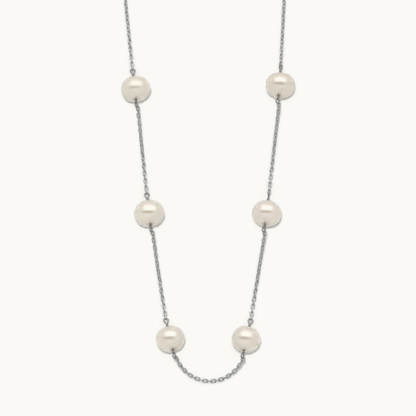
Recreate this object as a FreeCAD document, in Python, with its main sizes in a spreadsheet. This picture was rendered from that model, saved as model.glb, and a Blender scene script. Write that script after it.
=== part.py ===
import FreeCAD, Part

import math
import os
import Sketcher

# Pearl station necklace, lying flat. The necklace is a closed loop seen from above: +Y runs from the lowest
# pearls to the clasp, +X to the right, +Z up, in millimetres. It rests on the plane z = 0, with the origin
# under the middle of its overall box. Far means the clasp's side of a pearl, near the side of the lowest chain.

Vector = FreeCAD.Vector
Rotation = FreeCAD.Rotation
Placement = FreeCAD.Placement
EAST = Vector(1, 0, 0)
NORTH = Vector(0, 1, 0)
UP = Vector(0, 0, 1)

# Driving sizes, in millimetres and degrees
SIZES = {
    "loop_length": 202.0,
    "axis_tilt": 20.0,
    "pearl_shoulder": 3.15,
    "drill_radius": 0.31,
    "drill_flare": 0.22,
    "drill_flare_depth": 0.16,
    "eye_wire_radius": 0.20,
    "eye_half_length": 6.80,
    "eye_shift": 0.30,
    "collar_start": 4.22,
    "collar_radius": 0.36,
    "collar_length": 0.50,
    "eye_loop_radius": 0.65,
    "eye_bend_radius": 0.50,
    "eye_spread": 32.0,
    "link_wire_radius": 0.155,
    "link_inside": 1.37,
    "link_width": 1.29,
    "link_pitch": 1.17,
    "link_gap": 0.13,
    "link_height": 0.65,
    "back_half_width": 28.0,
    "back_tube_radius": 0.60,
    "clasp_centre": 1.03,
    "clasp_height": 1.05,
    "clasp_ring_radius": 2.50,
    "clasp_ring_tube": 0.50,
    "clasp_eye_radius": 0.75,
    "clasp_eye_tube": 0.28,
    "clasp_eye_step": 3.45,
    "clasp_nub_radius": 0.30,
    "clasp_nub_length": 1.10,
    "jump_ring_radius": 1.15,
    "jump_ring_wire": 0.18,
    "jump_ring_height": 1.34,
    "jump_ring_gap": 0.12,
}

# Each pearl: the place of its middle from the lowest edge of the chain, its size across and along the drill
# hole, the heading of the hole (anticlockwise from +Y) and the rolls of its wire's far and near loops
PEARL_COLUMNS = ("number", "east", "north", "width", "length", "heading", "far_roll", "near_roll")
PEARL_ROWS = (
    (1, -21.3, 85.7, 8.53, 7.34, 6.3, 4.0, 54.0),
    (2, 20.7, 86.8, 8.58, 7.20, -4.6, 50.0, 34.0),
    (3, -17.0, 49.0, 8.70, 7.56, 6.8, 6.0, 52.0),
    (4, 16.8, 49.0, 8.58, 7.36, -7.6, 80.0, 44.0),
    (5, -10.8, 12.4, 8.32, 7.34, 12.8, 8.0, 44.0),
    (6, 11.0, 12.3, 8.32, 7.50, -12.2, -4.0, 50.0),
)

# Each chain between two eye wires: the pearls it joins and which loop it hooks on, whether its plan bows round
# to the lowest edge of the loop, the roll of its middle links (0 lies flat, 45 leans on two edges) and the
# lengths over which it sinks to the surface from its first loop and rises to its last
CHAIN_COLUMNS = ("name", "start", "finish", "finish_loop", "bowed", "roll", "sink", "rise")
CHAIN_ROWS = (
    ("chain_left_upper", 1, 3, "far", False, 45.0, 14.0, 8.0),
    ("chain_left_lower", 3, 5, "far", False, 45.0, 14.0, 8.0),
    ("chain_right_upper", 2, 4, "far", False, 45.0, 14.0, 8.0),
    ("chain_right_lower", 4, 6, "far", False, 45.0, 14.0, 8.0),
    ("chain_bottom", 5, 6, "near", True, 0.0, 12.0, 12.0),
)

# Each chain above the upper pearls: its side of the loop, the pearl, its heading, its number of real links,
# their roll and the length over which they sink to the surface
BACK_COLUMNS = ("side", "sign", "pearl", "heading", "links", "roll", "sink")
BACK_ROWS = (
    ("left", -1, 1, 6.0, 18, 45.0, 8.0),
    ("right", 1, 2, -3.2, 18, 45.0, 8.0),
)

# The tube's nearly straight stretch, as shares of its way along and out to the round back of the loop
SPREAD_COLUMNS = ("along", "out")
SPREAD_ROWS = (
    (0.35, 0.43),
    (0.72, 0.81),
)

# The corners of the tube's round back, and the share of its shorter run that a corner's arc takes
BACK_TURNS = 4
ARC_SHARE = 0.45

# The sides of a link and of its wire, the steps of a chain's path, the links over which it takes up a twist,
# and the rounds in which its path and its hooks settle
RING_SIDES = 10
WIRE_SIDES = 5
PATH_STEPS = 600
SETTLE_LINKS = 10
SETTLE_ROUNDS = 3

doc = FreeCAD.newDocument("station_necklace")
sheet = doc.addObject("Spreadsheet::Sheet", "Sizes")


def fill_sheet():
    """Writes each driving size to the sheet as text, with an alias of its own."""
    rows = dict(SIZES)
    for pearl in table(PEARL_COLUMNS, PEARL_ROWS):
        for column in ("width", "length"):
            rows["pearl_%d_%s" % (pearl["number"], column)] = pearl[column]
    for row, (alias, value) in enumerate(rows.items(), start=1):
        sheet.set("A%d" % row, alias.replace("_", " "))
        sheet.set("B%d" % row, str(value))
        sheet.setAlias("B%d" % row, alias)
    doc.recompute()


def table(columns, rows):
    """The rows as dictionaries under the columns' names."""
    return [dict(zip(columns, row)) for row in rows]


def size(alias):
    """A value of the sheet as a plain number."""
    return float(sheet.get(alias))


def new_body(label):
    """An empty body with its own label."""
    body = doc.addObject("PartDesign::Body", label)
    body.Label = label
    return body


def new_sketch(body, name, plane, turn=None):
    """A sketch on one of the body's own origin planes, turned within it."""
    sketch = body.newObject("Sketcher::SketchObject", name)
    support = [f for f in body.Origin.OriginFeatures if f.Role == plane]
    sketch.AttachmentSupport = [(support[0], "")]
    sketch.MapMode = "FlatFace"
    if turn is not None:
        sketch.AttachmentOffset = Placement(Vector(), turn)
    return sketch


def drive(sketch, name, expression, kind, *where):
    """Adds a dimension to the sketch and binds it to the sheet."""
    index = sketch.addConstraint(Sketcher.Constraint(kind, *where))
    sketch.renameConstraint(index, name)
    sketch.setExpression("Constraints." + name, expression)


def arc(middle, radius, first, last):
    """An arc of a sketch, anticlockwise between two angles in degrees."""
    circle = Part.Circle(Vector(middle[0], middle[1], 0), UP, radius)
    return Part.ArcOfCircle(circle, math.radians(first), math.radians(last))


def line(x1, y1, x2, y2):
    """A straight edge of a sketch."""
    return Part.LineSegment(Vector(x1, y1, 0), Vector(x2, y2, 0))


def pearl_placement(pearl):
    """Where a pearl's hole, which runs along its own Z, lies: heading to the clasp, its near end tilted up."""
    tilt = size("axis_tilt")
    turn = Rotation(UP, pearl["heading"]) * Rotation(EAST, -90.0 - tilt)
    shoulder = size("pearl_shoulder")
    rest = (pearl["width"] / 2 - shoulder) * math.cos(math.radians(tilt)) + shoulder
    return Placement(Vector(pearl["east"], pearl["north"] - size("loop_length") / 2, rest), turn)


def pearl_body(pearl):
    """A drilled pearl: a round shoulder between two flatter crowns, with a flared hole, turned round its hole."""
    label = "pearl_%d" % pearl["number"]
    body = new_body(label)
    sketch = new_sketch(body, label + "_profile", "XZ_Plane")
    half_width = pearl["width"] / 2
    half_length = pearl["length"] / 2
    shoulder = size("pearl_shoulder")
    hole = size("drill_radius")
    rim = hole + size("drill_flare")
    reach = half_width - shoulder
    crown = (half_length**2 + reach**2 - shoulder**2) / (2 * (half_length - shoulder))
    drop = crown - half_length
    join = math.degrees(math.atan2(drop, reach))
    lip = math.degrees(math.acos(rim / crown))
    top = math.sqrt(crown**2 - rim**2) - drop
    wall = top - size("drill_flare_depth")
    sketch.addGeometry(
        [
            line(hole, -wall, hole, wall),
            line(hole, wall, rim, top),
            arc((0, -drop), crown, join, lip),
            arc((reach, 0), shoulder, -join, join),
            arc((0, drop), crown, -lip, -join),
            line(rim, -top, hole, -wall),
        ]
    )
    for first, first_end, second, second_end in ((0, 2, 1, 1), (1, 2, 2, 2), (4, 1, 5, 1), (5, 2, 0, 1)):
        sketch.addConstraint(Sketcher.Constraint("Coincident", first, first_end, second, second_end))
    sketch.addConstraint(Sketcher.Constraint("Tangent", 2, 1, 3, 2))
    sketch.addConstraint(Sketcher.Constraint("Tangent", 3, 1, 4, 2))
    sketch.addConstraint(Sketcher.Constraint("PointOnObject", 2, 3, -2))
    sketch.addConstraint(Sketcher.Constraint("PointOnObject", 4, 3, -2))
    sketch.addConstraint(Sketcher.Constraint("PointOnObject", 3, 3, -1))
    sketch.addConstraint(Sketcher.Constraint("Symmetric", 0, 1, 0, 2, -1))
    sketch.addConstraint(Sketcher.Constraint("Symmetric", 4, 1, 2, 2, -1))
    names = {
        "width": "Sizes.%s_width / 2" % label,
        "length": "Sizes.%s_length / 2" % label,
        "shoulder": "Sizes.pearl_shoulder",
    }
    drive(sketch, "hole", "Sizes.drill_radius", "DistanceX", -1, 1, 0, 1, hole)
    drive(sketch, "flare", "Sizes.drill_flare", "DistanceX", 1, 1, 1, 2, rim - hole)
    drive(sketch, "flare_depth", "Sizes.drill_flare_depth", "DistanceY", 1, 1, 1, 2, top - wall)
    drive(sketch, "shoulder", names["shoulder"], "Radius", 3, shoulder)
    drive(sketch, "reach", "{width} - {shoulder}".format(**names), "DistanceX", -1, 1, 3, 3, reach)
    crown_formula = "(({length})^2 + ({width} - {shoulder})^2 - {shoulder}^2) / (2 * ({length} - {shoulder}))"
    drive(sketch, "crown", crown_formula.format(**names), "Radius", 2, crown)
    turned = body.newObject("PartDesign::Revolution", label + "_turned")
    turned.Profile = sketch
    turned.ReferenceAxis = (sketch, ["V_Axis"])
    turned.Angle = 360.0
    body.Tip = turned
    body.Placement = pearl_placement(pearl)
    return body


def eye_loop(body, label, end, roll):
    """Half a teardrop loop swept along its bent wire from inside the collar, then mirrored across the hole."""
    flip = Rotation(UP, 0.0 if end == "far" else 180.0)
    spine = new_sketch(body, label + "_line", "XZ_Plane", Rotation(NORTH, roll) * flip)
    spread = math.radians(size("eye_spread"))
    bend = size("eye_bend_radius")
    loop = size("eye_loop_radius")
    tip = size("eye_half_length") - size("eye_wire_radius")
    rise = (loop + bend) * math.sin(spread)
    rise += (loop * math.cos(spread) - bend * (1 - math.cos(spread))) / math.tan(spread)
    pinch = tip - loop - rise
    start = size("collar_start") + size("collar_length") / 4
    side = (bend * (1 - math.cos(spread)), pinch + bend * math.sin(spread))
    join = (loop * math.cos(spread), tip - loop - loop * math.sin(spread))
    angle = size("eye_spread")
    spine.addGeometry(
        [
            line(0, start, 0, pinch),
            arc((bend, pinch), bend, 180 - angle, 180),
            line(*side, *join),
            arc((0, tip - loop), loop, -angle, 90),
        ]
    )
    for first, first_end, second, second_end in ((0, 2, 1, 2), (1, 1, 2, 1), (2, 2, 3, 1)):
        spine.addConstraint(Sketcher.Constraint("Tangent", first, first_end, second, second_end))
    spine.addConstraint(Sketcher.Constraint("PointOnObject", 0, 1, -2))
    spine.addConstraint(Sketcher.Constraint("Vertical", 0))
    spine.addConstraint(Sketcher.Constraint("PointOnObject", 3, 3, -2))
    spine.addConstraint(Sketcher.Constraint("PointOnObject", 3, 2, -2))
    start_formula = "Sizes.collar_start + Sizes.collar_length / 4"
    tip_formula = "Sizes.eye_half_length - Sizes.eye_wire_radius"
    drive(spine, "start", start_formula, "DistanceY", -1, 1, 0, 1, start)
    drive(spine, "tip", tip_formula, "DistanceY", -1, 1, 3, 2, tip)
    drive(spine, "bend", "Sizes.eye_bend_radius", "Radius", 1, bend)
    drive(spine, "loop", "Sizes.eye_loop_radius", "Radius", 3, loop)
    drive(spine, "lean", "(90 - Sizes.eye_spread) * 1 deg", "Angle", 2, math.radians(90 - angle))
    section = new_sketch(body, label + "_section", "XY_Plane")
    sign = "" if end == "far" else "-"
    section.setExpression("AttachmentOffset.Base.z", "%s(%s)" % (sign, start_formula))
    section.addGeometry(Part.Circle(Vector(), UP, size("eye_wire_radius")))
    section.addConstraint(Sketcher.Constraint("Coincident", 0, 3, -1, 1))
    drive(section, "wire", "Sizes.eye_wire_radius", "Radius", 0, size("eye_wire_radius"))
    doc.recompute()
    half = body.newObject("PartDesign::AdditivePipe", label + "_half")
    half.Profile = section
    half.Spine = (spine, ["Edge1", "Edge2", "Edge3", "Edge4"])
    doc.recompute()
    whole = body.newObject("PartDesign::Mirrored", label + "_whole")
    whole.Originals = [half]
    whole.MirrorPlane = (spine, ["V_Axis"])
    body.Tip = whole
    doc.recompute()


def eye_wire_body(pearl):
    """The wire through a pearl: a shaft with a collar at each end, and a teardrop loop past each collar."""
    label = "eye_wire_%d" % pearl["number"]
    body = new_body(label)
    sketch = new_sketch(body, label + "_profile", "XZ_Plane")
    wire = size("eye_wire_radius")
    collar = size("collar_radius")
    inner = size("collar_start")
    outer = inner + size("collar_length")
    corners = ((0, -outer), (collar, -outer), (collar, -inner), (wire, -inner))
    corners += tuple((x, -y) for x, y in reversed(corners))
    count = len(corners)
    sketch.addGeometry([line(*corners[i], *corners[(i + 1) % count]) for i in range(count)])
    for i in range(count):
        sketch.addConstraint(Sketcher.Constraint("Coincident", i, 2, (i + 1) % count, 1))
        sketch.addConstraint(Sketcher.Constraint("Vertical" if i % 2 else "Horizontal", i))
    sketch.addConstraint(Sketcher.Constraint("PointOnObject", 0, 1, -2))
    drive(sketch, "collar_end", "Sizes.collar_start + Sizes.collar_length", "DistanceY", -1, 1, 7, 1, outer)
    drive(sketch, "near_end", "Sizes.collar_start + Sizes.collar_length", "DistanceY", 0, 1, -1, 1, outer)
    drive(sketch, "collar", "Sizes.collar_radius", "DistanceX", -1, 1, 1, 1, collar)
    drive(sketch, "far_collar", "Sizes.collar_radius", "DistanceX", -1, 1, 5, 1, collar)
    drive(sketch, "shaft", "Sizes.eye_wire_radius", "DistanceX", -1, 1, 3, 1, wire)
    drive(sketch, "inner_end", "Sizes.collar_start", "DistanceY", -1, 1, 4, 1, inner)
    drive(sketch, "inner_start", "Sizes.collar_start", "DistanceY", 2, 2, -1, 1, inner)
    shaft = body.newObject("PartDesign::Revolution", label + "_shaft")
    shaft.Profile = sketch
    shaft.ReferenceAxis = (sketch, ["V_Axis"])
    shaft.Angle = 360.0
    doc.recompute()
    eye_loop(body, label + "_far", "far", pearl["far_roll"])
    eye_loop(body, label + "_near", "near", pearl["near_roll"])
    place = pearl_placement(pearl)
    body.Placement = place * Placement(Vector(0, 0, size("eye_shift")), Rotation())
    return body


def link_solid():
    """One cable link, flat in XY with its long side along X: ten straight stretches of five-sided wire."""
    wire = size("link_wire_radius")
    end_radius = size("link_width") / 2 - wire
    straight = size("link_inside") + 4 * wire - size("link_width")
    corners = []
    for side in (1, -1):
        for k in range(RING_SIDES // 2):
            angle = math.pi * (k / (RING_SIDES // 2 - 1) - 0.5)
            corners.append(Vector(end_radius * math.cos(angle) + straight / 2, end_radius * math.sin(angle), 0) * side)
    rings = []
    for i, corner in enumerate(corners):
        before = (corner - corners[i - 1]).normalize()
        after = (corners[(i + 1) % len(corners)] - corner).normalize()
        out = (before + after).cross(UP).normalize()
        stretch = wire / math.cos(before.getAngle(after) / 2)
        ring = []
        for k in range(WIRE_SIDES):
            angle = 2 * math.pi * k / WIRE_SIDES
            ring.append(corner + out * (stretch * math.cos(angle)) + UP * (wire * math.sin(angle)))
        rings.append(ring)
    faces = []
    for i, ring in enumerate(rings):
        following = rings[(i + 1) % len(rings)]
        for k in range(WIRE_SIDES):
            m = (k + 1) % WIRE_SIDES
            faces.append(Part.Face(Part.makePolygon([ring[k], ring[m], following[m], following[k], ring[k]])))
    solid = Part.Solid(Part.Shell(faces))
    if solid.Volume < 0:
        solid.reverse()
    return solid


def link_line_length():
    """The length of a link's wire loop along its middle line."""
    return size("link_inside") + 2 * size("link_wire_radius")


def tip_reach():
    """How far the middle of the wire at a loop's tip is from the middle of the eye wire."""
    return size("eye_half_length") - size("eye_wire_radius")


def loop_pull(pearl, end, pull):
    """Where a chain that pulls one way hangs on a pearl's far or near loop, and how the loop's wire runs there:
    at the point of the loop's round end that lies furthest that way."""
    place = pearl_placement(pearl)
    side = 1 if end == "far" else -1
    roll = math.radians(pearl[end + "_roll"])
    outward = place.Rotation.multVec(UP) * side
    sideways = place.Rotation.multVec(Vector(math.cos(roll), math.sin(roll), 0))
    radius = size("eye_loop_radius")
    middle = place.multVec(Vector(0, 0, size("eye_shift") + (tip_reach() - radius) * side))
    turn = math.atan2(pull.dot(sideways), pull.dot(outward))
    point = middle + (outward * math.cos(turn) + sideways * math.sin(turn)) * radius
    return point, sideways * math.cos(turn) - outward * math.sin(turn)


def hook_step():
    """How far back from a loop's wire the wire of the link that hangs on it passes."""
    return size("eye_wire_radius") + size("link_gap") + size("link_wire_radius")


def resting_path(start, finish, bow, sink, rise):
    """A path over the surface: its plan is straight, or a round bow to the right of the way, and its ends come
    down to the surface in parabolas."""
    rest = size("link_height")
    flat_start = Vector(start.x, start.y, rest)
    flat_finish = Vector(finish.x, finish.y, rest)
    way = flat_finish - flat_start
    chord = way.Length
    along = way.normalize()
    right = along.cross(UP)
    radius = (chord**2 / 4 + bow**2) / (2 * bow) if bow else 0.0
    swing = 2 * math.atan2(chord / 2, radius - bow) if bow else 0.0
    plan_length = radius * swing if bow else chord
    points = []
    for step in range(PATH_STEPS + 1):
        share = step / PATH_STEPS
        if bow:
            angle = swing * (share - 0.5)
            across = radius * math.sin(angle) + chord / 2
            aside = radius * math.cos(angle) - radius + bow
        else:
            across = chord * share
            aside = 0.0
        done = plan_length * share
        lift = (start.z - rest) * max(0.0, 1 - done / sink) ** 2
        lift += (finish.z - rest) * max(0.0, 1 - (plan_length - done) / rise) ** 2
        points.append(flat_start + along * across + right * aside + UP * lift)
    return points


def path_lengths(points):
    """The distance along the path at each of its points."""
    lengths = [0.0]
    for before, after in zip(points, points[1:]):
        lengths.append(lengths[-1] + (after - before).Length)
    return lengths


def point_at(points, lengths, distance):
    """The point at a distance along the path, which carries straight on past both of its ends."""
    past = [k for k, value in enumerate(lengths) if value >= distance]
    k = max(1, past[0]) if past else len(points) - 1
    share = (distance - lengths[k - 1]) / (lengths[k] - lengths[k - 1])
    return points[k - 1] + (points[k] - points[k - 1]) * share


def clamp(share):
    """The share kept between 0 and 1."""
    return min(max(share, 0.0), 1.0)


def nearest_turn(roll, target, step):
    """The roll nearest to the target among those whole steps away from the given one."""
    return roll - step * round((roll - target) / step)


def link_roll(along, run):
    """The roll of a link that lies one way and is square to a wire running another way."""
    level = along.cross(UP).normalize()
    return math.degrees(math.atan2(run.dot(level), -run.dot(level.cross(along))))


def chain_compound(points, count, hooks, runs, middle_roll):
    """Interlocked links along a path, the first and last reaching past its ends by the hooks' lengths. Each is a
    quarter turn on from the one before. The chain twists evenly from its first link, square to the run of the
    wire that it hangs on, to how it lies in the middle, and on to its last link if that hangs on a wire too."""
    prototype = link_solid()
    reach = link_line_length()
    lengths = path_lengths(points)
    pitch = (lengths[-1] + sum(hooks) - reach) / (count - 1)
    first = link_roll((points[1] - points[0]).normalize(), runs[0])
    middle = nearest_turn(middle_roll, first, 90.0)
    last = middle
    if runs[1]:
        last_roll = link_roll((points[-1] - points[-2]).normalize(), runs[1])
        last = nearest_turn(last_roll - 90.0 * (count - 1), middle, 180.0)
    links = []
    for k in range(count):
        head = point_at(points, lengths, k * pitch - hooks[0])
        tail = point_at(points, lengths, k * pitch - hooks[0] + reach)
        along = (tail - head).normalize()
        level = along.cross(UP).normalize()
        roll = first + (middle - first) * clamp(k / SETTLE_LINKS)
        roll += (last - middle) * clamp(1 - (count - 1 - k) / SETTLE_LINKS) + 90.0 * k
        across = level * math.cos(math.radians(roll)) + level.cross(along) * math.sin(math.radians(roll))
        link = prototype.copy()
        link.Placement = Placement((head + tail) * 0.5, Rotation(along, across, UP, "XYZ"))
        links.append(link)
    return Part.makeCompound(links), pitch


def add_feature(label, shape):
    """A part of the document with a shape of its own."""
    feature = doc.addObject("Part::Feature", label)
    feature.Label = label
    feature.Shape = shape
    return feature


def linked_chain(chain):
    """A chain between the loops of two pearls. Its path and the places where it hangs on them settle together."""
    pearl_ends = ((pearls[chain["start"]], "near"), (pearls[chain["finish"]], chain["finish_loop"]))
    start, finish = (loop_pull(*pearl_end, UP * -1)[0] for pearl_end in pearl_ends)
    for settling in range(SETTLE_ROUNDS):
        bow = 0.0
        if chain["bowed"]:
            bow = (start.y + finish.y) / 2 + size("loop_length") / 2 - size("link_width") / 2
        points = resting_path(start, finish, bow, chain["sink"], chain["rise"])
        start, start_run = loop_pull(*pearl_ends[0], points[1] - points[0])
        finish, finish_run = loop_pull(*pearl_ends[1], points[-2] - points[-1])
    length = path_lengths(points)[-1]
    count = 1 + round((length + 2 * hook_step() - link_line_length()) / size("link_pitch"))
    hooks = (hook_step(), hook_step())
    shape, pitch = chain_compound(points, count, hooks, (start_run, finish_run), chain["roll"])
    print(chain["name"], "links", count, "pitch", round(pitch, 3), "length", round(length, 2))
    spans.append(length)
    return add_feature(chain["name"], shape)


def compass(heading):
    """The level direction of a heading, anticlockwise from +Y."""
    return Rotation(UP, heading).multVec(NORTH)


def shoulder_path(back):
    """The way of the real links from an upper pearl's far loop to where the plain tube takes over, and how the
    loop's wire runs where they hang on it."""
    pearl = pearls[back["pearl"]]
    way = compass(back["heading"])
    start = loop_pull(pearl, "far", way)[0]
    length = link_line_length() + size("link_pitch") * (back["links"] - 1) - hook_step()
    for settling in range(SETTLE_ROUNDS):
        finish = start + way * length
        finish.z = size("link_height")
        points = resting_path(start, finish, 0.0, back["sink"], back["sink"])
        start, run = loop_pull(pearl, "far", points[1] - points[0])
    return points, run


def shoulder_chain(back):
    """The real links above an upper pearl."""
    points, run = shoulder_path(back)
    shape, pitch = chain_compound(points, back["links"], (hook_step(), 0.0), (run, None), back["roll"])
    length = path_lengths(points)[-1]
    print("shoulder", back["side"], "pitch", round(pitch, 3), "length", round(length, 2))
    spans.append(length)
    return add_feature("chain_%s_shoulder" % back["side"], shape)


def jump_ring_offset(tube_radius):
    """How far a standing jump ring's middle lies beyond the middle of the wire or tube that it holds."""
    slack = size("jump_ring_radius") - size("jump_ring_wire") - tube_radius - size("jump_ring_gap")
    return math.sqrt(slack**2 - (size("jump_ring_height") - size("clasp_height")) ** 2)


def fastening_ends():
    """The places of both jump rings and the ends of both tubes, along X."""
    eye_rim = size("clasp_centre") - size("clasp_eye_step") - size("clasp_eye_radius")
    ring_rim = size("clasp_centre") + size("clasp_ring_radius")
    left_ring = eye_rim - jump_ring_offset(size("clasp_eye_tube"))
    right_ring = ring_rim + jump_ring_offset(size("clasp_ring_tube"))
    reach = size("jump_ring_radius") + size("jump_ring_wire") + size("jump_ring_gap")
    return {"left_ring": left_ring, "right_ring": right_ring, "left": left_ring - reach, "right": right_ring + reach}


def clasp_north():
    """How far north the middle of the clasp lies: its ring reaches the far end of the loop."""
    return size("loop_length") / 2 - size("clasp_ring_radius") - size("clasp_ring_tube")


def back_points(back):
    """The tube's route: gently curved from the last real link, then round the back of the loop to the clasp,
    through the corners of a polygon drawn round the circle of the back."""
    start = shoulder_path(back)[0][-1] + compass(back["heading"]) * (size("link_wire_radius") + size("link_gap"))
    radius = size("back_half_width")
    stop = Vector(fastening_ends()[back["side"]], clasp_north(), start.z)
    whole_turn = math.acos(abs(stop.x) / radius)
    turn_start = stop.y - radius * math.sin(whole_turn)
    points = [start]
    for spread in table(SPREAD_COLUMNS, SPREAD_ROWS):
        north = start.y + (turn_start - start.y) * spread["along"]
        east = start.x + (back["sign"] * radius - start.x) * spread["out"]
        points.append(Vector(east, north, start.z))
    step = whole_turn / BACK_TURNS
    corner_radius = radius / math.cos(step / 2)
    for k in range(BACK_TURNS):
        angle = step * (k + 0.5)
        east = back["sign"] * corner_radius * math.cos(angle)
        points.append(Vector(east, turn_start + corner_radius * math.sin(angle), start.z))
    points.append(stop)
    return points


def rounded_route(points):
    """Straight runs joined by tangent arcs, each as large as its two runs allow. Prints the radii."""
    edges = []
    radii = []
    start = points[0]
    for before, corner, after in zip(points, points[1:], points[2:]):
        back_way = before - corner
        on_way = after - corner
        half_turn = (math.pi - back_way.getAngle(on_way)) / 2
        trim = ARC_SHARE * min(back_way.Length, on_way.Length)
        radius = trim / math.tan(half_turn)
        radii.append(round(radius, 1))
        back_way.normalize()
        on_way.normalize()
        arc_start = corner + back_way * trim
        arc_end = corner + on_way * trim
        inward = (back_way + on_way).normalize()
        middle = corner + inward * (radius / math.cos(half_turn) - radius)
        edges.append(Part.LineSegment(start, arc_start).toShape())
        edges.append(Part.Arc(arc_start, middle, arc_end).toShape())
        start = arc_end
    edges.append(Part.LineSegment(start, points[-1]).toShape())
    print("arc radii", radii)
    return Part.Wire(edges)


def back_tube(back):
    """The hidden chain round the back, as a tube of the chain's own width."""
    points = back_points(back)
    route = rounded_route(points)
    radius = size("back_tube_radius")
    mouth = Part.Wire(Part.makeCircle(radius, points[0], points[1] - points[0]))
    tube = route.makePipeShell([mouth], True, False)
    print("tube volume", round(tube.Volume, 2), "section x length", round(math.pi * radius**2 * route.Length, 2))
    spans.append(route.Length)
    return add_feature("chain_%s_back" % back["side"], tube)


def torus(label, ring_radius, tube_radius):
    """A ring of round wire bound to the sheet."""
    ring = doc.addObject("Part::Torus", label)
    ring.setExpression("Radius1", "Sizes." + ring_radius)
    ring.setExpression("Radius2", "Sizes." + tube_radius)
    return ring


def clasp():
    """The closed clasp as one plain piece: a ring, the small eye beside it and a thumb nub on its rim."""
    ring = torus("clasp_ring", "clasp_ring_radius", "clasp_ring_tube")
    eye = torus("clasp_eye", "clasp_eye_radius", "clasp_eye_tube")
    eye.setExpression("Placement.Base.x", "-Sizes.clasp_eye_step")
    nub = doc.addObject("Part::Cylinder", "clasp_nub")
    nub.setExpression("Radius", "Sizes.clasp_nub_radius")
    nub.setExpression("Height", "Sizes.clasp_nub_length")
    nub.Placement = Placement(Vector(), Rotation(UP, NORTH * -1))
    nub.setExpression("Placement.Base.y", "-Sizes.clasp_ring_radius")
    whole = doc.addObject("Part::MultiFuse", "clasp")
    whole.Shapes = [ring, eye, nub]
    whole.Label = "clasp"
    whole.Placement = Placement(Vector(size("clasp_centre"), clasp_north(), size("clasp_height")), Rotation())
    return whole


def jump_ring(side):
    """A jump ring that stands across the clasp's wire and holds the end of the chain."""
    ring = torus("jump_ring_" + side, "jump_ring_radius", "jump_ring_wire")
    middle = Vector(fastening_ends()[side + "_ring"], clasp_north(), size("jump_ring_height"))
    ring.Placement = Placement(middle, Rotation(UP, NORTH))
    return ring


def check_document():
    """Stops if any object of the document has failed."""
    for thing in doc.Objects:
        if {"Invalid", "Error"} & set(thing.State):
            raise RuntimeError("%s has failed: %s" % (thing.Label, thing.State))


def export(pieces):
    """Writes each piece to its own file, after its shape is checked."""
    os.makedirs("parts", exist_ok=True)
    for piece in pieces:
        if piece.Shape.isNull() or not piece.Shape.isValid():
            raise RuntimeError("%s has no valid shape" % piece.Label)
        piece.Shape.exportStep("parts/%s.step" % piece.Label)


fill_sheet()
pearls = {pearl["number"]: pearl for pearl in table(PEARL_COLUMNS, PEARL_ROWS)}
pieces = []
spans = [2 * tip_reach() * len(pearls)]
for pearl in pearls.values():
    pieces.append(pearl_body(pearl))
    pieces.append(eye_wire_body(pearl))
for chain in table(CHAIN_COLUMNS, CHAIN_ROWS):
    pieces.append(linked_chain(chain))
for back in table(BACK_COLUMNS, BACK_ROWS):
    pieces.append(shoulder_chain(back))
    pieces.append(back_tube(back))
    pieces.append(jump_ring(back["side"]))
pieces.append(clasp())
ends = fastening_ends()
spans.append(ends["right"] - ends["left"])
print("whole length", round(sum(spans), 1))
doc.recompute()
check_document()
export(pieces)
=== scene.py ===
"""Pearl station necklace, lying flat: smooth links, nacre pearls and bright silver round the CAD frame."""

import math

import bpy
import numpy as np
from bpy.props import FloatProperty, FloatVectorProperty, IntProperty, PointerProperty
from mathutils import Matrix, Vector


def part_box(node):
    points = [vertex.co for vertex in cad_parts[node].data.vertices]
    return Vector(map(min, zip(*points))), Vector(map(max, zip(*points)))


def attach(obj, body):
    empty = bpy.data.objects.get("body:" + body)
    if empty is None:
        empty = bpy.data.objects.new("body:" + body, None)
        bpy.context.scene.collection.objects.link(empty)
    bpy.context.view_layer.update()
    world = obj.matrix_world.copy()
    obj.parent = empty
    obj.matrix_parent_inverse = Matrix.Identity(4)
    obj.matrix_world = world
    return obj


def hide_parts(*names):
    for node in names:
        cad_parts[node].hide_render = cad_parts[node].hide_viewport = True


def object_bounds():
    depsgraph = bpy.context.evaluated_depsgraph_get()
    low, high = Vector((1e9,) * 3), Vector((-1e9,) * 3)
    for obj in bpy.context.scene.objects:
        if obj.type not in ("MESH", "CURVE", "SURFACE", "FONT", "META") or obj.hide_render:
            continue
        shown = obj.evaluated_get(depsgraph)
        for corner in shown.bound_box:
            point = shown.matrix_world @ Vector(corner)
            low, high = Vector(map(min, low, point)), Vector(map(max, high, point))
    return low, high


bl_info = {
    "name": "Station necklace",
    "version": (1, 0, 0),
    "blender": (4, 5, 0),
    "location": "3D View > Sidebar > Necklace",
    "description": "Builds the pearls, cable chain, silver parts and studio of a pearl station necklace",
    "category": "Object",
}

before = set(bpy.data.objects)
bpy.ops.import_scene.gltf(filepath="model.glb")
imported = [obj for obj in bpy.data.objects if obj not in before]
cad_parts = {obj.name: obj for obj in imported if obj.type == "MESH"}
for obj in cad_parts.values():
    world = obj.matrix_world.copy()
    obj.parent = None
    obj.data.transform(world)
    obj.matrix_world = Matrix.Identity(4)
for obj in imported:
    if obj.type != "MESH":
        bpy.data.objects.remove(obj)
CAD_BOX = [list(corner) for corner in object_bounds()]

MM = 0.001
UP = np.array([0.0, 0.0, 1.0])
EAST = np.array([1.0, 0.0, 0.0])
NORTH = np.array([0.0, 1.0, 0.0])

# Chains whose links are real solids in the frame, and how many triangles each link has there
LINKED_CHAINS = (
    "left_upper",
    "left_lower",
    "right_upper",
    "right_lower",
    "bottom",
    "left_shoulder",
    "right_shoulder",
)
FRAME_LINK_TRIANGLES = 100
SIDES = ("left", "right")

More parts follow.
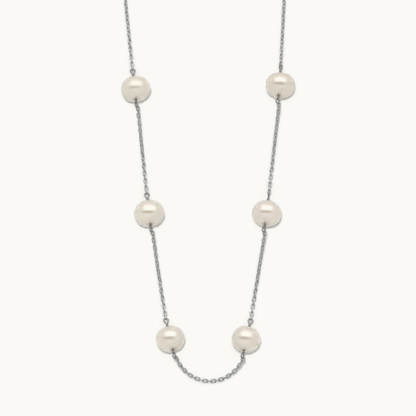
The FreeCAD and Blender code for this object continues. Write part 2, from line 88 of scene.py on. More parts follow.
# Each pearl: how far its middle lies to the right of its drill hole, the depth and bearing of the one
# flatter side that nacre grows, the depth and turn of its lobes, in millimetres and degrees, the shares
# of blush and of green in its cream, how blurred its lustre is, and the least share of tan in its skin
PEARL_COLUMNS = (
    "number", "shift", "flat", "flat_turn", "lobe", "lobe_turn", "blush", "green", "satin", "warm"
)
PEARL_ROWS = (
    (1, 0.26, 0.10, 140.0, 0.05, 20.0, 0.25, 0.60, 0.21, 0.07),
    (2, 0.32, 0.08, 30.0, 0.05, 75.0, 0.45, 0.35, 0.12, 0.13),
    (3, 0.00, 0.10, 120.0, 0.05, 50.0, 0.35, 0.45, 0.12, 0.0),
    (4, 0.12, 0.12, 215.0, 0.06, 10.0, 0.60, 0.20, 0.12, 0.02),
    (5, 0.00, 0.08, 60.0, 0.05, 95.0, 0.30, 0.45, 0.14, 0.04),
    (6, -0.12, 0.10, 160.0, 0.05, 35.0, 0.45, 0.35, 0.15, 0.03),
)


def linear(code):
    """An sRGB hex colour as linear red, green and blue."""
    values = [int(code[i : i + 2], 16) / 255 for i in (1, 3, 5)]
    return tuple(v / 12.92 if v <= 0.04045 else ((v + 0.055) / 1.055) ** 2.4 for v in values)


class NecklaceSizes(bpy.types.PropertyGroup):
    """Sizes that a maker would change."""

    link_length: FloatProperty(
        name="Link length", description="Outer length of a cable link", default=2.02 * MM, unit="LENGTH"
    )
    link_width: FloatProperty(
        name="Link width", description="Outer width of a cable link", default=1.28 * MM, unit="LENGTH"
    )
    link_wire: FloatProperty(
        name="Link wire", description="Thickness of a link's wire", default=0.36 * MM, unit="LENGTH"
    )
    link_pitch: FloatProperty(
        name="Link pitch",
        description="Distance from one hidden link to the next",
        default=1.17 * MM,
        unit="LENGTH",
    )
    link_arc_steps: IntProperty(name="Arc steps", description="Faces round half a link", default=5, min=3)
    link_wire_sides: IntProperty(
        name="Wire sides", description="Faces round a link's wire", default=6, min=3
    )
    drill_hole: FloatProperty(
        name="Drill hole", description="Diameter of a pearl's hole", default=0.62 * MM, unit="LENGTH"
    )
    drill_edge: FloatProperty(
        name="Drill edge", description="Radius of the hole's worn edge", default=0.14 * MM, unit="LENGTH"
    )
    pearl_fullness: FloatProperty(
        name="Pearl fullness", description="Exponent of a pearl's profile, 2 for an ellipse", default=2.08
    )


class NecklaceColours(bpy.types.PropertyGroup):
    """Colours of the finishes."""

    cream: FloatVectorProperty(
        name="Cream", description="Body colour of the nacre", subtype="COLOR", default=linear("#D0C8BB")
    )
    blush: FloatVectorProperty(
        name="Blush", description="Rose overtone of the nacre", subtype="COLOR", default=linear("#D7C6C0")
    )
    green: FloatVectorProperty(
        name="Green", description="Green overtone of the nacre", subtype="COLOR", default=linear("#CFCCB5")
    )
    silver: FloatVectorProperty(
        name="Silver", description="Rhodium-plated silver", subtype="COLOR", default=linear("#C6C6C8")
    )
    # Tan that paints the shade in each drill hole's dimple, and also gives the pearls their own warmth
    tan: FloatVectorProperty(
        name="Tan", description="Tan round the drill holes", subtype="COLOR", default=linear("#A8967A")
    )
    wire: FloatVectorProperty(
        name="Wire", description="Drawn silver of the eye wires", subtype="COLOR", default=linear("#98989A")
    )
    floor: FloatVectorProperty(
        name="Floor", description="Pale card of the floor", subtype="COLOR", default=linear("#E8E8E8")
    )


class NecklaceStudio(bpy.types.PropertyGroup):
    """Camera and light of the studio."""

    elevation: FloatProperty(
        name="Elevation",
        description="Camera's angle above the floor",
        default=math.radians(80),
        subtype="ANGLE",
    )
    field: FloatProperty(
        name="Field", description="Width of the picture at the necklace", default=120.6 * MM, unit="LENGTH"
    )
    distance: FloatProperty(
        name="Distance",
        description="From the camera to the middle of the picture",
        default=1.1,
        unit="LENGTH",
    )
    tent: FloatProperty(name="Tent", description="Brightness of the light all round", default=0.83)
    fill: FloatProperty(name="Fill", description="Brightness of the fill card in a gloss", default=1.15)
    softbox: FloatProperty(
        name="Softbox", description="Brightness of the softbox's core in a gloss", default=2.1
    )
    key: FloatProperty(
        name="Key", description="Brightness of the overhead panel on matt surfaces", default=310.0
    )


def surface_mesh(name, points):
    """A mesh of closed tubes. Points are counted by tube, along it, round it, and by axis; each ring
    joins the next and the last joins the first, and so does each point of a ring, so that every tube is a
    torus."""
    tubes, rings, sides, _ = points.shape
    index = np.arange(tubes * rings * sides).reshape(tubes, rings, sides)
    ahead = np.roll(index, -1, axis=1)
    quads = np.stack([index, ahead, np.roll(ahead, -1, axis=2), np.roll(index, -1, axis=2)], axis=-1)
    mesh = bpy.data.meshes.new(name)
    mesh.vertices.add(index.size)
    mesh.vertices.foreach_set("co", points.astype(np.float32).ravel())
    mesh.loops.add(quads.size)
    mesh.loops.foreach_set("vertex_index", quads.astype(np.int32).ravel())
    mesh.polygons.add(index.size)
    mesh.polygons.foreach_set("loop_start", np.arange(0, quads.size, 4, dtype=np.int32))
    mesh.update(calc_edges=True)
    mesh.polygons.foreach_set("use_smooth", np.full(index.size, True))
    mesh.validate()
    return mesh


def add_piece(name, mesh, material, replaced):
    """Puts a finished mesh in the scene as a piece that rides on the necklace and stands for CAD nodes."""
    piece = bpy.data.objects.new(name, mesh)
    bpy.context.scene.collection.objects.link(piece)
    mesh.materials.append(material)
    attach(piece, "root")
    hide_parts(*replaced)
    return piece


def node_points(name):
    """The vertices of a CAD node as an array."""
    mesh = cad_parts[name].data
    points = np.empty(len(mesh.vertices) * 3)
    mesh.vertices.foreach_get("co", points)
    return points.reshape(-1, 3)


def node_triangles(name):
    """The corners of a CAD node's triangles, by triangle, corner and axis."""
    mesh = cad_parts[name].data
    mesh.calc_loop_triangles()
    corners = np.empty(len(mesh.loop_triangles) * 3, dtype=np.int32)
    mesh.loop_triangles.foreach_get("vertices", corners)
    return node_points(name)[corners].reshape(-1, 3, 3)


def unit(vectors):
    """Vectors of length 1."""
    return vectors / np.linalg.norm(vectors, axis=-1, keepdims=True)


def frame_links(name):
    """Where a chain node's links lie. Each link's own axes are the principal axes of its surface, weighed
    by area, and its middle is halfway between its lowest and highest point along each of them."""
    corners = node_triangles(name).reshape(-1, FRAME_LINK_TRIANGLES, 3, 3)
    middles = corners.mean(axis=2)
    edges = corners[:, :, 1:] - corners[:, :, :1]
    areas = np.linalg.norm(np.cross(edges[:, :, 0], edges[:, :, 1]), axis=-1)
    weights = (areas / areas.sum(axis=1, keepdims=True))[:, :, None]
    offsets = middles - (middles * weights).sum(axis=1, keepdims=True)
    spread = np.einsum("nti,ntj->nij", offsets * weights, offsets)
    axes = np.linalg.eigh(spread)[1].transpose(0, 2, 1)[:, ::-1]
    along, across = axes[:, 0], axes[:, 1]
    frames = np.stack([along, across, np.cross(along, across)], axis=1)
    shares = np.einsum("nki,nai->nka", corners.reshape(len(corners), -1, 3), frames)
    centre = np.einsum("na,nai->ni", (shares.min(axis=1) + shares.max(axis=1)) / 2, frames)
    return centre, frames


def link_points(sizes):
    """One cable link in its own axes. Its middle line is two half circles joined by straights, and the
    wire is a circle carried along it: middle + thickness * (cos a * outward + sin a * upright)."""
    wire = sizes.link_wire / 2
    radius = sizes.link_width / 2 - wire
    straight = sizes.link_length - sizes.link_width
    steps = sizes.link_arc_steps + 1
    bend = np.concatenate([np.linspace(-0.5, 0.5, steps), np.linspace(0.5, 1.5, steps)]) * math.pi
    side = np.repeat([0.5, -0.5], steps) * straight
    outward = np.stack([np.cos(bend), np.sin(bend), np.zeros_like(bend)], axis=-1)
    middle = radius * outward + side[:, None] * EAST
    turn = np.linspace(0, 2 * math.pi, sizes.link_wire_sides, endpoint=False)
    turn += math.pi / sizes.link_wire_sides
    return middle[:, None] + wire * (np.cos(turn)[:, None] * outward[:, None] + np.sin(turn)[:, None] * UP)


def chain_mesh(name, centre, frames, sizes):
    """A mesh of links: each is the one link, turned to its own axes and moved to its own middle."""
    points = np.einsum("rsa,nai->nrsi", link_points(sizes), frames) + centre[:, None, None]
    return surface_mesh(name, points)


def path_distances(path):
    """The distance along a path at each of its points."""
    return np.concatenate([[0.0], np.cumsum(np.linalg.norm(np.diff(path, axis=0), axis=1))])


def on_path(path, distances):
    """The points at some distances along a path."""
    known = path_distances(path)
    return np.stack([np.interp(distances, known, path[:, axis]) for axis in range(3)], axis=-1)


def link_frames(head, tail, roll):
    """The middles and axes of links with given ends and rolls. At roll 0 a link lies level, and a quarter
    turn stands it on edge."""
    along = unit(tail - head)
    level = unit(np.cross(along, UP))
    rise = np.cross(level, along)
    across = level * np.cos(roll)[:, None] + rise * np.sin(roll)[:, None]
    return (head + tail) / 2, np.stack([along, across, np.cross(along, across)], axis=1)


# How the hidden chain comes up to its jump ring: the lean of its pull on the ring, the length over which
# it rises, and the gap between ring and last link. Then the links that take up its last twist, and the
# points of each of its two stretches
RING_PULL = math.radians(11)
RING_RISE = 5 * MM
RING_GAP = 0.13 * MM
TWIST_LINKS = 10
PATH_STEPS = 400


def ring_hook(side, sign):
    """Where the hidden chain pulls on its jump ring, and half the thickness of the ring's wire."""
    low, high = (np.array(corner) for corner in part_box("jump_ring_" + side))
    ring_wire = (high[1] - low[1]) / 2
    ring_radius = (high[0] - low[0]) / 2 - ring_wire
    pull = np.array([sign * math.cos(RING_PULL), 0.0, -math.sin(RING_PULL)])
    return (low + high) / 2 + pull * ring_radius, ring_wire


def back_path(side, sizes):
    """The hidden chain's line, from the head of the last real link to where it hangs on its jump ring: a
    cubic from the link's own direction to due north, then a circle round the back, rising in a parabola
    at its end."""
    sign = -1 if side == "left" else 1
    centre, frames = frame_links("chain_%s_shoulder" % side)
    along = frames[-1, 0] * np.sign(frames[-1, 0] @ NORTH)
    wire = sizes.link_wire
    head = centre[-1] - along * (sizes.link_length - wire) / 2
    hook, ring_wire = ring_hook(side, sign)
    outer = max(abs(corner[0]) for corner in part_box("chain_%s_back" % side))
    radius = outer - sizes.link_width / 2
    turn_north = hook[1] - math.sqrt(radius**2 - hook[0] ** 2)
    start = np.array([head[0], head[1], 0.0])
    finish = np.array([sign * radius, turn_north, 0.0])
    reach = np.linalg.norm(finish - start)
    share = np.linspace(0, 1, PATH_STEPS)[:, None]
    leave = unit(along * np.array([1, 1, 0])) * reach
    arrive = NORTH * reach
    cubic = (2 * share**3 - 3 * share**2 + 1) * start + (share**3 - 2 * share**2 + share) * leave
    cubic += (3 * share**2 - 2 * share**3) * finish + (share**3 - share**2) * arrive
    angle = np.linspace(0, math.acos(abs(hook[0]) / radius), PATH_STEPS)[1:]
    east = sign * radius * np.cos(angle)
    north = turn_north + radius * np.sin(angle)
    circle = np.stack([east, north, 0 * angle], axis=-1)
    path = np.concatenate([cubic, circle])
    known = path_distances(path)
    left = known[-1] - known
    path[:, 2] = head[2] + (hook[2] - head[2]) * np.clip(1 - left / RING_RISE, 0, 1) ** 2
    last = unit(path[-1] - path[-2])
    beyond = path[-1] + last * (ring_wire + RING_GAP + wire / 2)
    return np.concatenate([path, beyond[None]]), frames[-1], along


def back_links(side, sizes):
    """The hidden chain's links. Each is a quarter turn on from the one before, starting from the last
    real link, and the last few take up the twist that leaves the end link level."""
    path, last_frame, along = back_path(side, sizes)
    reach = sizes.link_length - sizes.link_wire
    total = path_distances(path)[-1]
    count = round((total - reach) / sizes.link_pitch)
    number = np.arange(1, count + 1)
    heads = number * (total - reach) / count
    level = unit(np.cross(along, UP))
    normal = last_frame[2]
    first = math.atan2(normal @ level, -(normal @ np.cross(level, along)))
    half = math.pi / 2
    roll = first + half * number
    spare = (roll[-1] + half) % math.pi - half
    roll -= spare * np.clip(1 - (count - number) / TWIST_LINKS, 0, 1)
    return link_frames(on_path(path, heads), on_path(path, heads + reach), roll)


# Rings along a pearl's outside, points round it, and rings of its hole's worn edge and wall
PEARL_RINGS = 90
PEARL_SIDES = 96
EDGE_RINGS = 6
WALL_RINGS = 4

# How far out from the hole the skin has moved over to the pearl's own middle, and how far the tan of
# painted hole shade reaches
SHIFT_BLEND = 1.2 * MM
HOLE_SHADE_REACH = 1.9 * MM

# The two-sided lobe beside the three-sided one, and how narrow the flatter side is
OVAL_SHARE = 0.5
FLAT_POWER = 3


def pearl_axes(number):
    """A pearl's middle, its own axes (level across, upward across, along the hole to the far end) and its
    half sizes across and along the hole, from the CAD pearl and the wire through it. The axes are
    left-handed."""
    wire = node_points("eye_wire_%d" % number)
    middle = (wire.min(axis=0) + wire.max(axis=0)) / 2
    axis = np.linalg.eigh(np.cov((wire - middle).T))[1][:, -1]
    axis = axis * np.sign(axis @ NORTH)
    level = unit(np.cross(axis, UP))
    rise = np.cross(level, axis)
    axes = np.stack([level, rise, axis])
    shares = node_points("pearl_%d" % number) @ axes.T
    low, high = shares.min(axis=0), shares.max(axis=0)
    return (low + high) / 2 @ axes, axes, (high - low) / 2


def pearl_profile(across, along, sizes):
    """A drilled pearl's closed profile, as distances from the hole's axis and heights along it. The
    outside is a superellipse: radius a * sin(t)^(2/p), height c * cos(t)^(2/p). A quarter circle turns it
    in at each end of the hole, whose wall closes it."""
    hole = sizes.drill_hole / 2
    edge = sizes.drill_edge
    power = 2 / sizes.pearl_fullness
    first = math.asin(((hole + edge) / across) ** (1 / power))
    polar = np.linspace(first, math.pi - first, PEARL_RINGS)
    cosine = np.cos(polar)
    radius = across * np.sin(polar) ** power
    height = along * np.sign(cosine) * np.abs(cosine) ** power
    bend = np.linspace(0, math.pi / 2, EDGE_RINGS, endpoint=False)
    edge_radius = hole + edge * (1 - np.cos(bend))
    edge_height = height[0] - edge * (1 - np.sin(bend))
    wall = np.linspace(-1, 1, WALL_RINGS) * (edge_height[0] - edge)
    radius = np.concatenate([edge_radius, radius, edge_radius[::-1], np.full(WALL_RINGS, hole)])
    height = np.concatenate([edge_height, height, -edge_height[::-1], wall])
    return radius, height


def pearl_mesh(row, sizes):
    """A drilled pearl: its profile turned round the hole, backwards because its axes are left-handed, so
    that it faces outward. Cosines of three and of two turns and one flatter side make it uneven, and away
    from the hole it moves over to its own middle."""
    centre, axes, half = pearl_axes(row["number"])
    across = (half[0] + half[1]) / 2
    radius, height = pearl_profile(across, half[2], sizes)
    hole = sizes.drill_hole / 2
    outside = radius - hole - sizes.drill_edge
    turn = np.linspace(2 * math.pi, 0, PEARL_SIDES, endpoint=False)
    lobe_turn = math.radians(row["lobe_turn"])
    lobe = row["lobe"] * MM * (np.cos(3 * turn - lobe_turn) + OVAL_SHARE * np.cos(2 * turn + lobe_turn))
    flat = row["flat"] * MM * np.clip(np.cos(turn - math.radians(row["flat_turn"])), 0, 1) ** FLAT_POWER
    uneven = radius[:, None] + np.clip(outside / across, 0, 1)[:, None] ** 2 * (lobe - flat)
    blend = np.clip(outside / SHIFT_BLEND, 0, 1)[:, None]
    shift = row["shift"] * MM * blend**2 * (3 - 2 * blend)
    level = uneven * np.cos(turn) + shift
    rise = uneven * np.sin(turn)
    local = np.stack([level, rise, height[:, None] + 0 * turn], axis=-1)
    mesh = surface_mesh("nacre_pearl_%d" % row["number"], (local @ axes + centre)[None])
    # Share of tan: painted shade near the hole, and never less than the pearl's own warmth all over
    tan = np.maximum(np.clip(1 - (radius - hole) / HOLE_SHADE_REACH, 0, 1) ** 2, row["warm"])
    mesh.attributes.new("drill", "FLOAT", "POINT")
    mesh.attributes["drill"].data.foreach_set("value", np.repeat(tan, PEARL_SIDES))
    return mesh


# The sockets of a Mix node that mixes colours
MIX_SHARE = 0
MIX_FIRST = 6
MIX_SECOND = 7
MIX_RESULT = 2


def add_node(tree, kind, links=None, **settings):
    """Adds a node. A setting named for an input sets its value, any other an attribute; links join inputs
    to other nodes' outputs."""
    node = tree.nodes.new(kind)
    for name, value in settings.items():
        socket = node.inputs.get(name.replace("_", " ").title())
        if hasattr(node, name):
            setattr(node, name, value)
        elif socket is not None:
            socket.default_value = value
        else:
            raise RuntimeError("%s has no setting %s" % (kind, name))
    for name, output in (links or {}).items():
        tree.links.new(output, node.inputs[name])
    return node


def set_sockets(shader, values):
    """Sets a shader's inputs to plain values, by their names."""
    for name, value in values.items():
        shader.inputs[name].default_value = value


def ramp(tree, value, known, wanted, interpolation="LINEAR"):
    """A value carried from one range to another and held at both ends."""
    node = add_node(
        tree,
        "ShaderNodeMapRange",
        {"Value": value},
        interpolation_type=interpolation,
        from_min=known[0],
        from_max=known[1],
        to_min=wanted[0],
        to_max=wanted[1],
    )
    return node.outputs["Result"]


def cloud_noise(tree, place, size, detail, roughness):
    """Noise whose clouds have a real size."""
    node = add_node(
        tree, "ShaderNodeTexNoise", {"Vector": place}, scale=1 / size, detail=detail, roughness=roughness
    )
    return node.outputs["Fac"]


def colour_of(values):
    """A colour property as red, green, blue and full alpha."""
    return (*values, 1.0)


def blend_colours(tree, share, first, second):
    """Goes by a share from a first colour, which may be another node's output, to a second."""
    mix = add_node(tree, "ShaderNodeMix", {MIX_SHARE: share}, data_type="RGBA")
    if isinstance(first, bpy.types.NodeSocket):
        tree.links.new(first, mix.inputs[MIX_FIRST])
    else:
        mix.inputs[MIX_FIRST].default_value = colour_of(first)
    mix.inputs[MIX_SECOND].default_value = colour_of(second)
    return mix.outputs[MIX_RESULT]


def new_material(name):
    """An empty material with its own node tree and output."""
    material = bpy.data.materials.new(name)
    material.use_nodes = True
    tree = material.node_tree
    tree.nodes.clear()
    output = tree.nodes.new("ShaderNodeOutputMaterial")
    return material, tree, output


# Nacre: the sizes of its clouds of rose and of green and of its growth ripples, the detail and roughness
# of each noise, the noise over which each cloud comes in, and the strength and depth of the ripples
ROSE_CLOUD = (3.2 * MM, 2.0, 0.5)
GREEN_CLOUD = (2.1 * MM, 2.0, 0.55)
GROWTH_RIPPLE = (0.9 * MM, 3.0, 0.5)
ROSE_RANGE = (0.38, 0.68)
GREEN_RANGE = (0.40, 0.68)
RIPPLE_STRENGTH = 0.12
RIPPLE_DEPTH = 0.05 * MM

# The body of the nacre, with a little light sinking in, and the strong reflection of its skin. The skin's
# index stands for a stack of thin platelets, which reflects more than one surface of nacre does
NACRE_BODY = {
    "Roughness": 0.50,
    "IOR": 1.60,
    "Specular IOR Level": 0.3,
    "Subsurface Weight": 0.5,
    "Subsurface Radius": (1.0, 0.9, 0.8),
    "Subsurface Scale": 0.8 * MM,
    "Coat Weight": 1.0,
    "Coat IOR": 2.9,
}


def nacre_material(row, colours):
    """Freshwater nacre: aragonite platelets under a smooth skin. Light sinks in a little, a blurred
    lustre lies over a warm body, and clouds of rose and green overtone drift through the cream."""
    material, tree, output = new_material("freshwater_nacre_%d" % row["number"])
    place = add_node(tree, "ShaderNodeTexCoord").outputs["Object"]
    rose = ramp(tree, cloud_noise(tree, place, *ROSE_CLOUD), ROSE_RANGE, (0.0, row["blush"]))
    green = ramp(tree, cloud_noise(tree, place, *GREEN_CLOUD), GREEN_RANGE, (0.0, row["green"]))
    # Tan painted round the drill hole as its shade, laid over the pearl's own warmth
    drill = add_node(tree, "ShaderNodeAttribute", attribute_name="drill").outputs["Fac"]
    rosy = blend_colours(tree, rose, colours.cream, colours.blush)
    cloudy = blend_colours(tree, green, rosy, colours.green)
    body = blend_colours(tree, drill, cloudy, colours.tan)
    ripple = cloud_noise(tree, place, *GROWTH_RIPPLE)
    skin = add_node(
        tree, "ShaderNodeBump", {"Height": ripple}, strength=RIPPLE_STRENGTH, distance=RIPPLE_DEPTH
    )
    sockets = {"Base Color": body, "Normal": skin.outputs["Normal"]}
    shader = add_node(tree, "ShaderNodeBsdfPrincipled", sockets)
    set_sockets(shader, NACRE_BODY)
    set_sockets(shader, {"Coat Roughness": row["satin"]})
    tree.links.new(shader.outputs["BSDF"], output.inputs["Surface"])
    return material


# Silver: the size, detail and roughness of its haze, the noise over which the haze comes in, how far it
# takes the polish down and up, and how dark it makes the metal
SILVER_HAZE = (0.4 * MM, 3.0, 0.6)
HAZE_RANGE = (0.3, 0.7)
POLISH_LOW = 0.8
POLISH_HIGH = 1.25
HAZE_TONE = 0.8

# The roughness of the plated chain and clasp, and of the drawn eye wires
PLATED_ROUGHNESS = 0.22
DRAWN_ROUGHNESS = 0.28


def silver_material(name, colour, roughness):
    """Rhodium-plated sterling silver, drawn to wire and barrelled bright: a grey mirror with a faint
    haze."""
    material, tree, output = new_material(name)
    place = add_node(tree, "ShaderNodeTexCoord").outputs["Object"]
    haze = cloud_noise(tree, place, *SILVER_HAZE)
    polish = ramp(tree, haze, HAZE_RANGE, (roughness * POLISH_LOW, roughness * POLISH_HIGH))
    tone = blend_colours(tree, haze, colour, [HAZE_TONE * value for value in colour])
    shader = add_node(
        tree, "ShaderNodeBsdfPrincipled", {"Base Color": tone, "Roughness": polish}, metallic=1.0
    )
    tree.links.new(shader.outputs["BSDF"], output.inputs["Surface"])
    return material


def shared_silver(colours):
    """The one silver finish of the chain, jump rings and clasp."""
    name = "rhodium_silver"
    return bpy.data.materials.get(name) or silver_material(name, colours.silver, PLATED_ROUGHNESS)


def finish_nodes(names, material):
    """Gives CAD nodes a finish without touching their meshes."""
    for name in names:
        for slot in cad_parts[name].material_slots:
            slot.link = "OBJECT"
            slot.material = material


class NECKLACE_OT_pearls(bpy.types.Operator):
    """Grow the six pearls on their wires"""

    bl_idname = "necklace.pearls"
    bl_label = "Pearls"

    def execute(self, context):
        sizes = context.scene.necklace_sizes
        colours = context.scene.necklace_colours
        for row in (dict(zip(PEARL_COLUMNS, values)) for values in PEARL_ROWS):
            mesh = pearl_mesh(row, sizes)
            node = "pearl_%d" % row["number"]
            add_piece(mesh.name, mesh, nacre_material(row, colours), [node])
        return {"FINISHED"}


class NECKLACE_OT_chain(bpy.types.Operator):
    """Lay smooth links where the frame has its real ones"""

    bl_idname = "necklace.chain"
    bl_label = "Cable chain"

    def execute(self, context):
        sizes = context.scene.necklace_sizes
        silver = shared_silver(context.scene.necklace_colours)
        for name in LINKED_CHAINS:
            centre, frames = frame_links("chain_" + name)
            mesh = chain_mesh("cable_" + name, centre, frames, sizes)
            add_piece(mesh.name, mesh, silver, ["chain_" + name])
        return {"FINISHED"}


class NECKLACE_OT_back_chain(bpy.types.Operator):
    """Carry the chain on round the back to the clasp's jump rings"""

    bl_idname = "necklace.back_chain"
    bl_label = "Back chain"

    def execute(self, context):
        sizes = context.scene.necklace_sizes
        silver = shared_silver(context.scene.necklace_colours)
        for side in SIDES:
            centre, frames = back_links(side, sizes)
            mesh = chain_mesh("cable_%s_back" % side, centre, frames, sizes)
            add_piece(mesh.name, mesh, silver, ["chain_%s_back" % side])
        return {"FINISHED"}


class NECKLACE_OT_fittings(bpy.types.Operator):
    """Give the eye wires, jump rings and clasp their silver"""

    bl_idname = "necklace.fittings"
    bl_label = "Silver fittings"

    def execute(self, context):
        colours = context.scene.necklace_colours
        wire = silver_material("drawn_silver_wire", colours.wire, DRAWN_ROUGHNESS)
        finish_nodes(["eye_wire_%d" % row[0] for row in PEARL_ROWS], wire)
        finish_nodes(["jump_ring_" + side for side in SIDES] + ["clasp"], shared_silver(colours))
        return {"FINISHED"}


# The middle of the picture along the necklace, from its lowest edge, the camera's sensor in millimetres
# and how far it sees, the paper that a fully lit floor shows as, and half the width of the floor
PICTURE_NORTH = 51.3 * MM
SENSOR = 36.0
CLIP_END = 10.0
PAGE_WHITE = "#FAF9F5"
FLOOR_HALF = 2.0

# Each sheet over the necklace, seen from the middle of the picture: how far its two edges lean north of
# straight up, how far its two sides lean right, in degrees, and its distance
SHEET_COLUMNS = ("edge", "other_edge", "left", "right", "distance")
SHEETS = {
    "softbox": (11.0, 84.0, -50.0, 54.0, 1.0),
    "fill_card": (-18.0, -42.0, -42.0, 36.0, 1.02),
    "overhead_panel": (-3.0, 1.5, -5.0, -0.5, 2.0),
    "lens_gap": (10.0, -19.0, -57.0, 40.0, 1.0),
}

# Where each sheet starts to fade, as shares of the way to its north edge and of its width out from its
# middle. The gap gives no light
SOFTBOX_FADES = (0.35, 0.16)
FILL_FADES = (0.3, 0.08)
GAP_FADES = (0.95, 0.3)
GAP_LIGHT = 0.0
SHEET_MIDDLE = 0.5

# The colours of the softbox, the cool fill card and the tent
WHITE = (1, 1, 1)
FILL_TINT = (0.9, 0.95, 1.1)
TENT_TINT = (0.985, 0.99, 1.0)

# The tent's brightness at the floor beside that overhead, and the share of the way up where it is full
RIM_SHARE = 0.95
RIM_HEIGHT = 0.35

# The tent's share that reaches matt surfaces, the rest of it seen only in a gloss
MATT_SHARE = 0.86

# The floor card: how bright it is in a gloss, beside how bright it is to the eye, and its matt surface
GLOSS_SHARE = 0.90
CARD_SURFACE = {"Roughness": 0.9, "Specular IOR Level": 0.2}


def overhead_quad(name, middle):
    """A flat four-sided sheet over the necklace, square to the line from the middle of the picture to its
    own centre. The camera doesn't see it, and the top of its own map is its north edge."""
    row = dict(zip(SHEET_COLUMNS, SHEETS[name]))
    edge, other_edge = math.radians(row["edge"]), math.radians(row["other_edge"])
    distance = row["distance"]
    lean = (edge + other_edge) / 2
    out = np.array([0.0, math.sin(lean), math.cos(lean)])
    north = np.array([0.0, math.cos(lean), -math.sin(lean)])
    half = math.tan(abs(other_edge - edge) / 2) * distance
    west = math.tan(math.radians(row["left"])) * distance
    east = math.tan(math.radians(row["right"])) * distance
    corners = [(west, -half), (east, -half), (east, half), (west, half)]
    points = [middle + out * distance + EAST * x + north * y for x, y in corners]
    mesh = bpy.data.meshes.new(name)
    mesh.from_pydata([tuple(p) for p in points], [], [(0, 1, 2, 3)])
    mesh.uv_layers.new(name="sheet")
    mesh.uv_layers["sheet"].data.foreach_set("uv", [0, 0, 1, 0, 1, 1, 0, 1])
    sheet = bpy.data.objects.new(name, mesh)
    bpy.context.scene.collection.objects.link(sheet)
    sheet.visible_camera = False
    return sheet


def sheet_material(name, colour, strength, north_fade, side_fade):
    """A cloth or gap that shows in a gloss. It is even as far as the two shares given, then fades
    smoothly to nothing at its north edge and at both sides, and its south edge is crisp."""
    material, tree, output = new_material(name)
    place = add_node(tree, "ShaderNodeTexCoord").outputs["UV"]
    split = add_node(tree, "ShaderNodeSeparateXYZ", {"Vector": place})
    middle = add_node(tree, "ShaderNodeMath", {0: split.outputs["X"]}, operation="SUBTRACT")
    middle.inputs[1].default_value = SHEET_MIDDLE
    aside = add_node(tree, "ShaderNodeMath", {0: middle.outputs[0]}, operation="ABSOLUTE").outputs[0]
    northward = ramp(tree, split.outputs["Y"], (north_fade, 1.0), (1.0, 0.0), "SMOOTHSTEP")
    sideways = ramp(tree, aside, (side_fade, SHEET_MIDDLE), (1.0, 0.0), "SMOOTHSTEP")
    fade = add_node(tree, "ShaderNodeMath", {0: northward, 1: sideways}, operation="MULTIPLY")
    light = add_node(tree, "ShaderNodeEmission", strength=strength)
    set_sockets(light, {"Color": colour_of(colour)})
    clear = add_node(tree, "ShaderNodeBsdfTransparent")
    sheet = add_node(
        tree, "ShaderNodeMixShader", {0: fade.outputs[0], 1: clear.outputs[0], 2: light.outputs["Emission"]}
    )
    tree.links.new(sheet.outputs[0], output.inputs["Surface"])
    return material


def glow_material(strength):
    """An evenly lit panel, small and bright, that gives the pearls their sharp shadow."""
    material, tree, output = new_material("panel_cloth")
    light = add_node(tree, "ShaderNodeEmission", strength=strength)
    tree.links.new(light.outputs["Emission"], output.inputs["Surface"])
    return material


def card_material(colour):
    """Pale matt card. In a gloss it is a little darker, as a card is that falls away into the dark of a
    room."""
    material, tree, output = new_material("pale_card")
    ray = add_node(tree, "ShaderNodeLightPath").outputs["Is Glossy Ray"]
    tone = blend_colours(tree, ray, colour, [GLOSS_SHARE * value for value in colour])
    shader = add_node(tree, "ShaderNodeBsdfPrincipled", {"Base Color": tone})
    set_sockets(shader, CARD_SURFACE)
    tree.links.new(shader.outputs["BSDF"], output.inputs["Surface"])
    return material


def add_floor(colours):
    """The pale card that the necklace lies on."""
    half = FLOOR_HALF
    mesh = bpy.data.meshes.new("floor")
    corners = [(-half, -half, 0), (half, -half, 0), (half, half, 0), (-half, half, 0)]
    mesh.from_pydata(corners, [], [(0, 1, 2, 3)])
    floor = bpy.data.objects.new("floor", mesh)
    bpy.context.scene.collection.objects.link(floor)
    mesh.materials.append(card_material(colours.floor))


def add_sheets(studio, middle):
    """The softbox, fill card and lens gap, which only a gloss shows, and the panel that lights matt
    surfaces."""
    box = overhead_quad("softbox", middle)
    box.data.materials.append(sheet_material("softbox_cloth", WHITE, studio.softbox, *SOFTBOX_FADES))
    box.visible_diffuse = False
    fill = overhead_quad("fill_card", middle)
    fill.data.materials.append(sheet_material("fill_cloth", FILL_TINT, studio.fill, *FILL_FADES))
    fill.visible_diffuse = False
    panel = overhead_quad("overhead_panel", middle)
    panel.data.materials.append(glow_material(studio.key))
    panel.visible_glossy = False
    gap = overhead_quad("lens_gap", middle)
    gap.data.materials.append(sheet_material("dark_gap", WHITE, GAP_LIGHT, *GAP_FADES))
    gap.visible_diffuse = False
    gap.visible_shadow = False


def light_tent(studio):
    """The white tent all round, a little darker near the floor, and darker still to matt surfaces."""
    world = bpy.data.worlds.new("light_tent")
    bpy.context.scene.world = world
    world.use_nodes = True
    tree = world.node_tree
    sky = tree.nodes["Background"]
    aim = add_node(tree, "ShaderNodeTexCoord").outputs["Generated"]
    height = add_node(tree, "ShaderNodeSeparateXYZ", {"Vector": aim}).outputs["Z"]
    rim = ramp(tree, height, (0.0, RIM_HEIGHT), (RIM_SHARE * studio.tent, studio.tent), "SMOOTHSTEP")
    ray = add_node(tree, "ShaderNodeLightPath").outputs["Is Glossy Ray"]
    share = ramp(tree, ray, (0.0, 1.0), (MATT_SHARE, 1.0))
    strength = add_node(tree, "ShaderNodeMath", {0: rim, 1: share}, operation="MULTIPLY")
    tree.links.new(strength.outputs[0], sky.inputs["Strength"])
    set_sockets(sky, {"Color": colour_of(TENT_TINT)})


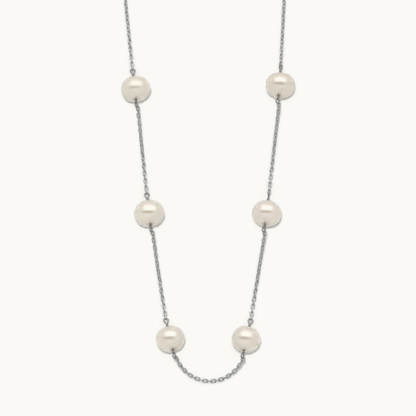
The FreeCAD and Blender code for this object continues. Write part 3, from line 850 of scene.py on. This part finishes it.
def add_camera(studio, middle):
    """A camera that looks north and down at the middle of the picture."""
    camera = bpy.data.cameras.new("camera")
    camera.sensor_width = SENSOR
    camera.lens = SENSOR * studio.distance / studio.field
    camera.clip_end = CLIP_END
    eye = bpy.data.objects.new("camera", camera)
    bpy.context.scene.collection.objects.link(eye)
    away = Vector((0.0, -math.cos(studio.elevation), math.sin(studio.elevation)))
    eye.matrix_world = Matrix.Translation(Vector(middle) + away * studio.distance) @ (
        away.to_track_quat("Z", "Y").to_matrix().to_4x4()
    )
    bpy.context.scene.camera = eye


def set_levels(view):
    """Plain colours, with straight curves up to the paper's white, where all that is brighter stops."""
    view.view_transform = "Standard"
    view.use_curve_mapping = True
    levels = view.curve_mapping
    levels.extend = "HORIZONTAL"
    for curve, value in zip(levels.curves, linear(PAGE_WHITE)):
        curve.points[0].location = (0.0, 0.0)
        curve.points[1].location = (1.0, value)
    levels.update()


class NECKLACE_OT_studio(bpy.types.Operator):
    """Set up the floor, the light and the camera"""

    bl_idname = "necklace.studio"
    bl_label = "Studio"

    def execute(self, context):
        scene = context.scene
        studio = scene.necklace_studio
        middle = np.array([0.0, CAD_BOX[0][1] + PICTURE_NORTH, 0.0])
        add_floor(scene.necklace_colours)
        add_sheets(studio, middle)
        light_tent(studio)
        add_camera(studio, middle)
        set_levels(scene.view_settings)
        return {"FINISHED"}


class VIEW3D_PT_necklace(bpy.types.Panel):
    """The necklace's sizes, colours and pieces"""

    bl_label = "Station necklace"
    bl_idname = "VIEW3D_PT_necklace"
    bl_space_type = "VIEW_3D"
    bl_region_type = "UI"
    bl_category = "Necklace"

    def draw(self, context):
        for group in (
            context.scene.necklace_sizes,
            context.scene.necklace_colours,
            context.scene.necklace_studio,
        ):
            column = self.layout.column(align=True)
            for name in group.__annotations__:
                column.prop(group, name)
        for operator in OPERATORS:
            self.layout.operator(operator.bl_idname)


GROUPS = (NecklaceSizes, NecklaceColours, NecklaceStudio)
OPERATORS = (
    NECKLACE_OT_pearls,
    NECKLACE_OT_chain,
    NECKLACE_OT_back_chain,
    NECKLACE_OT_fittings,
    NECKLACE_OT_studio,
)
CLASSES = (*GROUPS, *OPERATORS, VIEW3D_PT_necklace)


def register():
    """Adds the classes, and the settings to the scene."""
    for kind in CLASSES:
        bpy.utils.register_class(kind)
    bpy.types.Scene.necklace_sizes = PointerProperty(type=NecklaceSizes)
    bpy.types.Scene.necklace_colours = PointerProperty(type=NecklaceColours)
    bpy.types.Scene.necklace_studio = PointerProperty(type=NecklaceStudio)


def unregister():
    """Takes the settings and classes away again."""
    del bpy.types.Scene.necklace_studio
    del bpy.types.Scene.necklace_colours
    del bpy.types.Scene.necklace_sizes
    for kind in reversed(CLASSES):
        bpy.utils.unregister_class(kind)


def main():
    """Builds the necklace and its studio."""
    register()
    bpy.ops.necklace.pearls()
    bpy.ops.necklace.chain()
    bpy.ops.necklace.back_chain()
    bpy.ops.necklace.fittings()
    bpy.ops.necklace.studio()
    bpy.context.view_layer.update()


if __name__ == "__main__":
    main()
